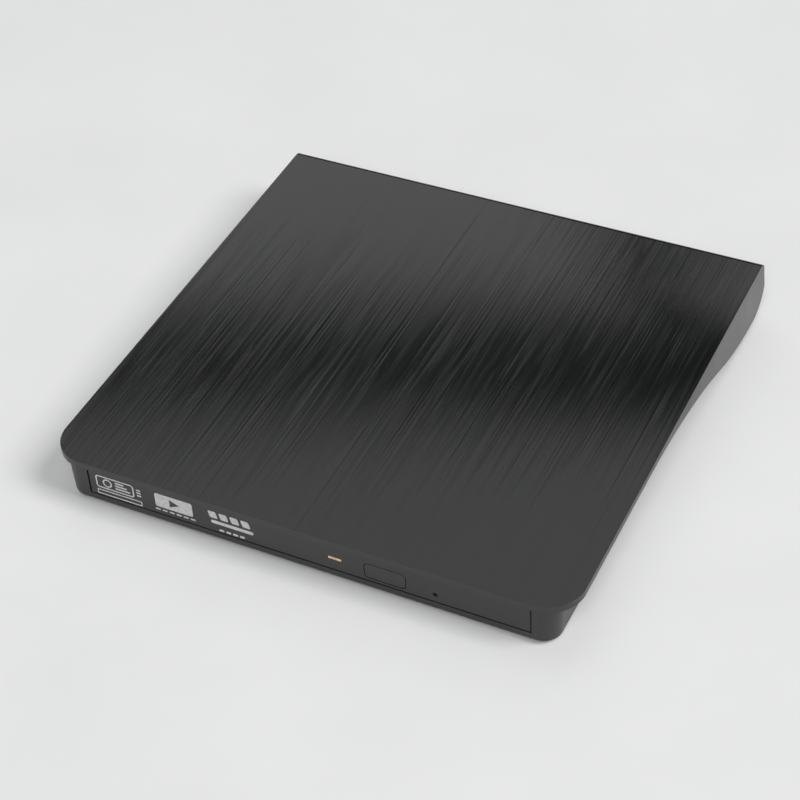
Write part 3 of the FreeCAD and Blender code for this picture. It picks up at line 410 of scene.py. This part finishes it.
def rounded_copy(node, width, steps=2):
    """A mesh of a CAD node with its flat faces whole and its hard edges rounded by that many millimetres."""
    shape = bmesh.new()
    shape.from_mesh(nodes[node].data)
    bmesh.ops.remove_doubles(shape, verts=shape.verts, dist=0.001 * MM)
    bmesh.ops.dissolve_limit(shape, angle_limit=math.radians(0.4), verts=shape.verts, edges=shape.edges)
    sharp = math.radians(35)
    hard = [e for e in shape.edges if len(e.link_faces) == 2 and e.calc_face_angle() > sharp]
    if width:
        bmesh.ops.bevel(shape, geom=hard, offset=width * MM, offset_type="OFFSET", segments=steps,
                        profile=0.5, affect="EDGES", clamp_overlap=True)
    soften(shape)
    mesh = bpy.data.meshes.new(node)
    shape.to_mesh(mesh)
    shape.free()
    return mesh


def refine(node, width, finish):
    """Replaces a CAD node with a piece of the same shape whose edges are rounded as they are made."""
    mesh = rounded_copy(node, width)
    piece = add_piece(node + "_finished", mesh, nodes[node]["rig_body"], finish, [node])
    piece.modifiers.new("even_normals", "WEIGHTED_NORMAL").keep_sharp = True


def flat_shapes(name, loops, thickness, turn, rounding=0.0):
    """A thin plate with the filled outlines of some loops of points, holes where loops lie in loops."""
    curve = bpy.data.curves.new(name, "CURVE")
    curve.dimensions = "2D"
    curve.fill_mode = "BOTH"
    curve.extrude = thickness / 2 - rounding
    curve.bevel_depth = rounding
    curve.bevel_resolution = 2
    curve.offset = -rounding
    for loop in loops:
        spline = curve.splines.new("POLY")
        spline.points.add(len(loop) - 1)
        for point, (x, y) in zip(spline.points, loop):
            point.co = (x, y, 0.0, 1.0)
        spline.use_cyclic_u = True
    holder = bpy.data.objects.new(name, curve)
    mesh = bpy.data.meshes.new_from_object(holder)
    bpy.data.objects.remove(holder)
    mesh.transform(turn)
    return mesh


def ring_points(x, y, radius, count=40):
    """The points of a circle."""
    angles = [2 * math.pi * step / count for step in range(count)]
    return [(x + radius * math.cos(angle), y + radius * math.sin(angle)) for angle in angles]


def rounded_box(x0, y0, x1, y1, radius, lean=0.0):
    """A rounded rectangle's points. lean slides its top edge along."""
    corners = [(x1 - radius, y0 + radius), (x1 - radius, y1 - radius),
               (x0 + radius, y1 - radius), (x0 + radius, y0 + radius)]
    points = []
    for quarter, (x, y) in enumerate(corners):
        for step in range(6):
            angle = math.radians(quarter * 90 - 90 + step * 18)
            points.append((x + radius * math.cos(angle), y + radius * math.sin(angle)))
    return [(x + lean * (y - y0), y) for x, y in points]


def framed(x0, y0, x1, y1, line, outer, inner):
    """The two outlines of a rounded frame whose line is that wide, with its outer and inner radius."""
    return [rounded_box(x0, y0, x1, y1, outer),
            rounded_box(x0 + line, y0 + line, x1 - line, y1 - line, inner)]


# ---------------------------------------------------------------- enclosure


def brush_map(mesh):
    """A flat UV map seen from above, u across the object, that says which way the brushed lines run."""
    repeats = 5
    layer = mesh.uv_layers.new(name="brush")
    for loop in mesh.loops:
        place = mesh.vertices[loop.vertex_index].co
        layer.data[loop.index].uv = (place.x * repeats, place.y * repeats)


def make_top_cover():
    """The cover: brushed on top of its plate, and plain satin on its wings, walls and underside."""
    mesh = rounded_copy("top_cover", 0.25, steps=3)
    mesh.materials.append(finishes["brushed"])
    mesh.materials.append(finishes["cover"])
    plate_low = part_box("top_cover")[0].z + 11.5 * MM
    upright = 0.93
    for face in mesh.polygons:
        on_top = face.normal.z > upright and face.center.z > plate_low
        face.material_index = 0 if on_top else 1
    brush_map(mesh)
    piece = add_piece("top_cover_finished", mesh, "enclosure", "brushed", ["top_cover"])
    piece.modifiers.new("even_normals", "WEIGHTED_NORMAL").keep_sharp = True


make_top_cover()

# The nodes that keep their CAD shape: how far their edges are rounded in millimetres, slot and finish.
PLAIN = {
    "base_shell": (0.25, "base", "base"),
    "rubber_feet": (0.20, "feet", "rubber"),
    "case_screws": (0.10, "screw_steel", "screw"),
    "bridge_board": (0.0, "green_board", "board"),
    "bridge_chips": (0.06, "chip_plastic", "chip"),
    "bridge_passives": (0.08, "chip_plastic", "chip"),
    "usb_socket": (0.12, "plated_shell", "plated"),
    "sata_receptacle": (0.12, "connector_plastic", "connector"),
    "board_screws": (0.08, "screw_steel", "screw"),
    "rear_bracket": (0.08, "sheet_steel", "sheet"),
    "bracket_screw": (0.08, "screw_steel", "screw"),
    "foam_strip": (0.30, "foam", "foam"),
    "drive_chassis": (0.10, "sheet_steel", "sheet"),
    "drive_lid": (0.08, "sheet_steel", "sheet"),
    "main_board": (0.0, "green_board", "board"),
    "main_chips": (0.06, "chip_plastic", "chip"),
    "sata_plug": (0.12, "connector_plastic", "connector"),
    "flat_cable_clamp": (0.10, "connector_plastic", "connector"),
    "flat_cable": (0.0, "ribbon", "ribbon"),
    "latch_pin": (0.08, "screw_steel", "screw"),
    "rail_guide_left": (0.10, "rail_plastic", "acetal"),
    "rail_guide_right": (0.10, "rail_plastic", "acetal"),
    "slide_rail_left": (0.08, "sheet_steel", "sheet"),
    "slide_rail_right": (0.08, "sheet_steel", "sheet"),
    "disc_tray": (0.15, "tray_plastic", "tray"),
    "tray_bezel": (0.15, "bezel", "bezel"),
    "front_board": (0.0, "green_board", "board"),
    "eject_switch": (0.10, "chip_plastic", "chip"),
    "light_guide": (0.08, "light", "light"),
    "tray_bottom_cover": (0.08, "sheet_steel", "sheet"),
    "traverse_frame": (0.10, "sheet_steel", "sheet"),
    "traverse_cover": (0.06, "sheet_steel", "painted"),
    "guide_rods": (0.10, "polished_rod", "rod"),
    "feed_motor": (0.15, "polished_rod", "rod"),
    "rubber_dampers": (0.20, "damper_rubber", "damper"),
    "spindle_base": (0.08, "sheet_steel", "sheet"),
    "latch_pivot": (0.08, "screw_steel", "screw"),
    "latch_solenoid": (0.15, "polished_rod", "rotor"),
    "spindle_rotor": (0.12, "polished_rod", "rotor"),
    "pickup_sled": (0.15, "sled_metal", "cast"),
    "lens_holder": (0.08, "lens_plastic", "optic_frame"),
    "objective_lens": (0.10, "lens", "lens"),
    "sled_nut": (0.12, "tray_plastic", "tray"),
    "eject_button": (0.15, "button", "button"),
    "latch_lever": (0.10, "tray_plastic", "tray"),
}
for node, (width, slot, finish) in PLAIN.items():
    refine(node, width, finish)


# ---------------------------------------------------------------- mechanism and small parts


def block(shape, low, high, rounding=0.08, turn=0.0):
    """Adds a block between two corners to a shape, its edges rounded, turned about the upright axis."""
    made = bmesh.ops.create_cube(shape, size=1.0)["verts"]
    for vertex in made:
        vertex.co = [a + (b - a) * (part + 0.5) for a, b, part in zip(low, high, vertex.co)]
    edges = list({edge for vertex in made for edge in vertex.link_edges})
    bmesh.ops.rotate(shape, verts=made, cent=(0, 0, 0), matrix=Matrix.Rotation(turn, 3, "Z"))
    bmesh.ops.bevel(shape, geom=edges, offset=rounding, segments=2, profile=0.5, affect="EDGES",
                    clamp_overlap=True)


def turned(shape, profile, steps, x=0.0, y=0.0, closed=False):
    """Adds a shape turned about an upright axis, from (radius, height) points."""
    rings = []
    for radius, height in profile:
        count = steps if radius else 1
        angles = [2 * math.pi * step / steps for step in range(count)]
        rings.append([shape.verts.new((x + radius * math.cos(a), y + radius * math.sin(a), height))
                      for a in angles])
    pairs = list(zip(rings, rings[1:])) + ([(rings[-1], rings[0])] if closed else [])
    for lower, upper in pairs:
        for step in range(steps):
            after = (step + 1) % steps
            corners = [lower[step % len(lower)], lower[after % len(lower)],
                       upper[after % len(upper)], upper[step % len(upper)]]
            shape.faces.new(dict.fromkeys(corners))


def build(shape, name, place, body, finish, replaced=()):
    """Turns a shape drawn in millimetres into a piece."""
    bmesh.ops.recalc_face_normals(shape, faces=shape.faces)
    soften(shape)
    mesh = bpy.data.meshes.new(name)
    shape.to_mesh(mesh)
    shape.free()
    mesh.transform(place)
    piece = add_piece(name, mesh, body, finish, replaced)
    piece.modifiers.new("even_normals", "WEIGHTED_NORMAL").keep_sharp = True


def cross_points(x, y, reach, half, turn):
    """The outline of a cross recess."""
    corner = [(reach, -half), (reach, half), (half, half)]
    points = []
    for quarter in range(4):
        angle = turn + quarter * math.pi / 2
        flat, lift = math.cos(angle), math.sin(angle)
        points += [(x + a * flat - b * lift, y + a * lift + b * flat) for a, b in corner]
    return points


def screw_heads(name, places, radius, low, tall, place, body):
    """Round screw heads that stand at a height, each with a cross recess turned its own way."""
    reach, half = radius * 0.62, radius * 0.16
    seat, crown, rounding = tall * 0.4, tall * 0.6, tall * 0.14
    whole, rims = [], []
    for x, y in places:
        whole.append(ring_points(x, y, radius * 0.96, 32))
        rims.append(ring_points(x, y, radius, 32))
        rims.append(cross_points(x, y, reach, half, random.uniform(0, math.pi)))
    shape = bmesh.new()
    for loops, thick, up in ((whole, seat, low + seat / 2), (rims, crown, low + seat + crown / 2)):
        plate = flat_shapes(name, loops, thick, Matrix.Translation((0, 0, up)), rounding)
        shape.from_mesh(plate)
        bpy.data.meshes.remove(plate)
    build(shape, name, place, body, "screw")


hub_low, hub_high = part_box("turntable")
chassis_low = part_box("drive_chassis")[0]
# Pieces are drawn in millimetres, and these place them. The drive's origin is on the disc's axis.
ORIGIN = Vector(((hub_low.x + hub_high.x) / 2, (hub_low.y + hub_high.y) / 2, chassis_low.z))
DIAGONAL = Matrix.Rotation(math.radians(-45), 4, "Z")
DRIVE = Matrix.Translation(ORIGIN) @ Matrix.Scale(MM, 4)
# The mechanism's own frame: its first axis is the path that the pickup travels along.
MECHANISM = Matrix.Translation(ORIGIN) @ DIAGONAL @ Matrix.Scale(MM, 4)
CASE = Matrix.Scale(MM, 4)


def make_turntable():
    """Turntable with a seat for its friction ring, a hub with a dished top, and the shaft's end."""
    bottom, seat, top = 5.2, 6.2, 8.2
    plate, hub, dish, bore, shaft = 15.0, 7.45, 5.1, 2.0, 0.95
    ring_in, ring_out, ring_deep = 9.3, 13.4, 0.25
    profile = [(0, bottom), (plate - 0.4, bottom), (plate, bottom + 0.3), (plate, seat - 0.2),
               (plate - 0.2, seat)]
    profile += [(ring_out + 0.1, seat), (ring_out, seat - ring_deep), (ring_in, seat - ring_deep),
                (ring_in - 0.1, seat)]
    profile += [(hub + 0.25, seat), (hub, seat + 0.15), (hub, top - 0.8), (hub - 0.15, top - 0.6),
                (6.5, top - 0.05), (6.3, top)]
    profile += [(dish + 0.2, top), (dish, top - 0.25), (dish - 1.0, top - 0.25), (dish - 1.2, top)]
    profile += [(bore + 0.2, top), (bore, top - 0.1), (bore, top - 0.6)]
    profile += [(shaft, top - 0.6), (shaft, top - 0.2), (shaft - 0.15, top - 0.1), (0, top - 0.1)]
    shape = bmesh.new()
    turned(shape, profile, 96)
    build(shape, "turntable_finished", DRIVE, "spindle", "hub", ["turntable"])

    inner, outer = ring_in + 0.1, ring_out - 0.1
    ring = [(inner, seat - 0.24), (outer, seat - 0.24), (outer, seat - 0.06), (outer - 0.1, seat - 0.01),
            (inner + 0.1, seat - 0.01), (inner, seat - 0.06)]
    shape = bmesh.new()
    turned(shape, ring, 96, closed=True)
    build(shape, "friction_ring", DRIVE, "spindle", "damper")

    claw_half, arm_at, arm_half = 1.25, 1.55, 0.15
    shape = bmesh.new()
    for third in range(3):
        turn = math.radians(90 + 120 * third)
        block(shape, (5.5, -claw_half, top - 0.95), (7.72, claw_half, top - 0.38), 0.2, turn)
        for side in (-arm_at, arm_at):
            block(shape, (5.6, side - arm_half, top - 0.7), (7.35, side + arm_half, top - 0.28), 0.1, turn)
    build(shape, "hub_claws", DRIVE, "spindle", "connector")


def make_lead_screw():
    """Steel screw with one helical groove that moves the pickup by its lead in every turn."""
    first, last, across, height = 5.1, 63.5, 17.6, 3.1
    plain_start, plain_end = 1.6, 2.2
    radius, groove, lead = 0.8, 0.18, 3.0
    groove_half, flank = 0.24, 0.08  # shares of the lead
    pace, steps = 0.146, 20
    count = round((last - first) / pace)
    shape = bmesh.new()
    rings = []
    for place in range(count + 1):
        along = first + (last - first) * place / count
        bare = along < first + plain_start or along > last - plain_end
        ring = []
        for step in range(steps):
            angle = 2 * math.pi * step / steps
            phase = (along / lead - step / steps) % 1.0
            deep = max(0.0, min(1.0, (groove_half - abs(phase - 0.5)) / flank))
            size = radius if bare else radius - groove * deep
            spot = (along, across + size * math.cos(angle), height + size * math.sin(angle))
            ring.append(shape.verts.new(spot))
        rings.append(ring)
    for near, far in zip(rings, rings[1:]):
        for step in range(steps):
            after = (step + 1) % steps
            shape.faces.new((near[step], near[after], far[after], far[step]))
    shape.faces.new(rings[0])
    shape.faces.new(rings[-1])
    build(shape, "lead_screw_finished", MECHANISM, "feed_screw", "rod", ["lead_screw"])


def make_pickup_details():
    """Actuator on the pickup: yokes, windings, damper blocks, the lens's ring and a trimming screw."""
    middle, top = 23.5, 4.6
    yoke_at, winding_at, damper_at = 3.3, 2.75, 5.25
    shape = bmesh.new()
    for side in (-1, 1):
        at = middle + side * yoke_at
        block(shape, (at - 0.35, -2.5, top), (at + 0.35, 2.5, top + 0.55), 0.1)
    build(shape, "actuator_yokes", MECHANISM, "pickup", "rotor")

    shape = bmesh.new()
    for side in (-1, 1):
        at = middle + side * winding_at
        for turn in range(3):
            low = top + 0.14 + turn * 0.11
            block(shape, (at - 0.22, -2.1, low), (at + 0.22, 2.1, low + 0.1), 0.04)
    build(shape, "actuator_windings", MECHANISM, "pickup", "copper")

    shape = bmesh.new()
    for side in (-1, 1):
        at = side * damper_at
        block(shape, (middle - 1.6, at - 0.4, top), (middle + 1.6, at + 0.4, top + 0.45), 0.12)
    ring = [(1.95, top + 0.15), (2.5, top + 0.15), (2.45, top + 0.36), (2.0, top + 0.42)]
    turned(shape, ring, 48, middle, 0.0, closed=True)
    build(shape, "lens_surround", MECHANISM, "pickup", "optic_frame")
    screw_heads("trimming_screw", [(middle + 4.2, 3.7)], radius=0.65, low=top, tall=0.3,
                place=MECHANISM, body="pickup")


def make_screws():
    """Screws that hold the sheet over the mechanism, at the edges of the pickup's slot."""
    places = [(along, across) for along in (18.4, 60.4) for across in (-8.5, 8.5)]
    screw_heads("cover_sheet_screws", places, radius=1.15, low=4.85, tall=0.42,
                place=MECHANISM, body="tray")


def make_socket_contacts():
    """Five plated contacts along the top of the socket's tongue."""
    low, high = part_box("usb_socket")
    middle, back = (low.x + high.x) / 2 / MM, high.y / MM
    tongue_top = (low.z + high.z) / 2 / MM + 0.8
    pitch, half = 0.8, 0.2
    shape = bmesh.new()
    for place in range(-2, 3):
        at = middle + place * pitch
        block(shape, (at - half, back - 3.8, tongue_top - 0.02),
              (at + half, back - 0.95, tongue_top + 0.06), 0.03)
    build(shape, "socket_contacts", CASE, "enclosure", "gold")


def separate_boxes(node):
    """The bounding box of every separate solid in a node, in millimetres."""
    shape = bmesh.new()
    shape.from_mesh(nodes[node].data)
    bmesh.ops.remove_doubles(shape, verts=shape.verts, dist=0.001 * MM)
    waiting = set(shape.verts)
    boxes = []
    while waiting:
        found = [waiting.pop()]
        for vertex in found:
            for edge in vertex.link_edges:
                other = edge.other_vert(vertex)
                if other in waiting:
                    waiting.remove(other)
                    found.append(other)
        spots = [vertex.co / MM for vertex in found]
        lowest = [min(spot[axis] for spot in spots) for axis in range(3)]
        highest = [max(spot[axis] for spot in spots) for axis in range(3)]
        boxes.append((lowest, highest))
    shape.free()
    return sorted(boxes)


def add_lead(shape, at, edge, out, foot):
    """A bent lead: a stub out of the chip's side, a drop, and a toe. It goes out towards -Y or Y."""
    half = 0.13
    stub, drop, toe = (-0.02, 0.45, 0.35, 0.47), (0.33, 0.45, 0.02, 0.40), (0.33, 0.85, 0.0, 0.12)
    for start, end, bottom, top in (stub, drop, toe):
        near, far = sorted((edge + out * start, edge + out * end))
        block(shape, (at - half, near, foot + bottom), (at + half, far, foot + top), 0.03)


def make_leads():
    """Bent tin leads down both long sides of each chip, and a pin dot on its top."""
    pitch, dot_inset = 0.8, 0.7
    for node in ("bridge_chips", "main_chips"):
        shape, dots = bmesh.new(), bmesh.new()
        for low, high in separate_boxes(node):
            wide = high[0] - low[0]
            count = int(wide / pitch)
            for place in range(count):
                at = low[0] + wide * (place + 0.5) / count
                add_lead(shape, at, low[1], -1, low[2])
                add_lead(shape, at, high[1], 1, low[2])
            top = high[2]
            dot = [(0, top + 0.03), (0.28, top + 0.03), (0.32, top - 0.05), (0, top - 0.05)]
            turned(dots, dot, 24, low[0] + dot_inset, high[1] - dot_inset)
        build(shape, node + "_leads", CASE, "enclosure", "plated")
        build(dots, node + "_dots", CASE, "enclosure", "label")


def make_label():
    """Blank rating label in the sunk field under the base, with an empty printed frame and boxes."""
    sunk, film_thick, ink_thick = 0.3, 0.12, 0.03
    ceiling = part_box("base_shell")[0].z / MM + sunk
    film = flat_shapes("rating_label", [rounded_box(-33, -23, 33, 23, 2.0)], film_thick,
                       CASE @ Matrix.Translation((0, 0, ceiling - film_thick / 2)), 0.03)
    add_piece("rating_label", film, "enclosure", "label")
    printed = framed(-31, -21, 31, 21, 0.4, 1.4, 1.1)
    for row in range(3):
        foot = -18 + row * 7.5
        printed += framed(-28, foot, 6, foot + 5, 0.3, 0.6, 0.4)
    printed += framed(10, -18, 28, 2, 0.3, 0.8, 0.6)
    frame_ink = flat_shapes("label_print", printed, ink_thick,
                            CASE @ Matrix.Translation((0, 0, ceiling - film_thick - 0.01)))
    add_piece("label_print", frame_ink, "enclosure", "ink")


make_turntable()
make_lead_screw()
make_pickup_details()
make_screws()
make_socket_contacts()
make_leads()
make_label()


# ---------------------------------------------------------------- marks on the bezel


def disc_mark(x, z):
    """A disc in a frame with lines beside it, over a slot."""
    loops = framed(x, z + 2.3, x + 11.6, z + 6.6, 0.4, 0.9, 0.6)
    loops += [ring_points(x + 3.5, z + 4.45, 1.4), ring_points(x + 3.5, z + 4.45, 1.0)]
    for row in range(3):
        y = z + 3.3 + row * 0.95
        loops.append(rounded_box(x + 5.9, y, x + 10.4 - row * 0.9, y + 0.5, 0.15))
        loops.append(rounded_box(x + 12.4, y, x + 13.7, y + 0.5, 0.15))
    loops.append(rounded_box(x, z, x + 13.7, z + 1.7, 0.3))
    loops.append(rounded_box(x + 0.3, z + 0.35, x + 13.4, z + 1.35, 0.15))
    return loops


def play_mark(x, z):
    """A panel with a triangle cut out of it, over a row of dashes."""
    loops = [rounded_box(x, z + 1.4, x + 11.2, z + 6.0, 0.6)]
    loops.append([(x + 4.3, z + 2.4), (x + 7.3, z + 3.7), (x + 4.3, z + 5.0)])
    for step in range(6):
        at = x - 0.2 + step * 2.1
        loops.append(rounded_box(at, z + 0.2, at + 1.5, z + 0.7, 0.15))
    return loops


def bars_mark(x, z):
    """Four leaning bars on a shelf, over a row of dashes."""
    loops = []
    for step in range(4):
        at = x + step * 3.2
        loops.append(rounded_box(at, z + 4.0, at + 2.3, z + 6.2, 0.4, lean=-0.25))
    loops.append(rounded_box(x + 0.2, z + 2.1, x + 12.6, z + 3.2, 0.5))
    for step in range(4):
        at = x + 2.4 + step * 2.0
        loops.append(rounded_box(at, z - 0.2, at + 1.4, z + 0.5, 0.15))
    return loops


def make_marks():
    """Three plain printed marks along the left of the bezel's face."""
    ink_thick, proud = 0.02, 0.01
    low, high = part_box("tray_bezel")
    turn = Matrix.Translation((0.0, low.y - proud * MM, 0.0)) @ Matrix.Rotation(math.radians(90), 4, "X")
    turn = turn @ Matrix.Scale(MM, 4)
    left, top = low.x / MM, high.z / MM
    marks = {
        "mark_disc": disc_mark(left + 2.2, top - 8.1),
        "mark_frame": play_mark(left + 20.2, top - 7.4),
        "mark_bars": bars_mark(left + 36.6, top - 7.8),
    }
    for name, loops in marks.items():
        add_piece(name, flat_shapes(name, loops, ink_thick, turn), "tray", "ink")


make_marks()


# ---------------------------------------------------------------- floor and lights


def sky(azimuth, elevation):
    """A direction from the object, in degrees: azimuth turns from straight behind it to its right."""
    turn, lift = math.radians(azimuth), math.radians(elevation)
    return Vector((math.sin(turn) * math.cos(lift), math.cos(turn) * math.cos(lift), math.sin(lift)))


def soft_light(name, left, right, depth, radiance, reach=3.0):
    """A soft box with one edge between two directions. It rises by depth in metres, or hangs down."""
    start, end = sky(*left) * reach, sky(*right) * reach
    middle, edge = (start + end) / 2, end - start
    rise = edge.cross(-middle).normalized()
    rise = rise if rise.z > 0 else -rise
    data = bpy.data.lights.new(name, "AREA")
    data.shape = "RECTANGLE"
    data.size, data.size_y = edge.length, abs(depth)
    data.energy = radiance * math.pi * data.size * data.size_y
    light = bpy.data.objects.new(name, data)
    bpy.context.scene.collection.objects.link(light)
    x, y = edge.normalized(), rise
    z = x.cross(y)
    if z.dot(middle) < 0:
        x, z = -x, -z
    turn = Matrix((x, y, z)).transposed()
    light.matrix_world = Matrix.Translation(middle + rise * depth / 2) @ turn.to_4x4()


def make_floor():
    """A pale paper floor that reaches that many metres from the object."""
    reach = 12.0
    shape = bmesh.new()
    bmesh.ops.create_grid(shape, x_segments=8, y_segments=8, size=reach)
    mesh = bpy.data.meshes.new("floor")
    shape.to_mesh(mesh)
    shape.free()
    floor = bpy.data.objects.new("floor", mesh)
    bpy.context.scene.collection.objects.link(floor)
    made = Finish("floor_paper", specular=0.2)
    made.colour(made.blend(made.spread(made.noise(60.0, 3.0), 0.0, 1.0), grey(0.74), grey(0.77)))
    made.roughness(made.spread(made.noise(4.0), 0.65, 0.8))
    mesh.materials.append(made.material)


def make_world():
    """A studio that looks pale behind the object and is dark where its surfaces mirror it."""
    mirrored, seen_behind = (0.078, 0.088, 0.084, 1.0), grey(0.75)
    world = bpy.data.worlds.new("studio")
    world.use_nodes = True
    tree = world.node_tree
    back = tree.nodes["Background"]
    seen = tree.nodes.new("ShaderNodeLightPath").outputs["Is Camera Ray"]
    mix = tree.nodes.new("ShaderNodeMix")
    mix.data_type = "RGBA"
    tree.links.new(seen, mix.inputs[0])
    mix.inputs[6].default_value = mirrored
    mix.inputs[7].default_value = seen_behind
    tree.links.new(mix.outputs[2], back.inputs["Color"])
    bpy.context.scene.world = world


def make_lights():
    """Boxes behind the object, with a gap that its plate mirrors as a dark band, and two wide keys."""
    soft_light("rear_softbox", (-57.1, 36.2), (-20.4, 42.05), depth=-0.85, radiance=1.0)
    soft_light("rear_right_softbox", (-17.4, 42.35), (14.9, 42.6), depth=-0.6, radiance=0.86)
    soft_light("high_softbox", (-61.1, 37.6), (0.9, 44.4), depth=2.2, radiance=0.77)
    soft_light("right_key", (60, 60), (110, 60), depth=-3.6, radiance=9.5, reach=6.6)
    soft_light("front_key", (135, 60), (185, 60), depth=-3.6, radiance=7.5, reach=6.6)


make_floor()
make_world()
make_lights()
bpy.context.scene.view_settings.view_transform = "Standard"
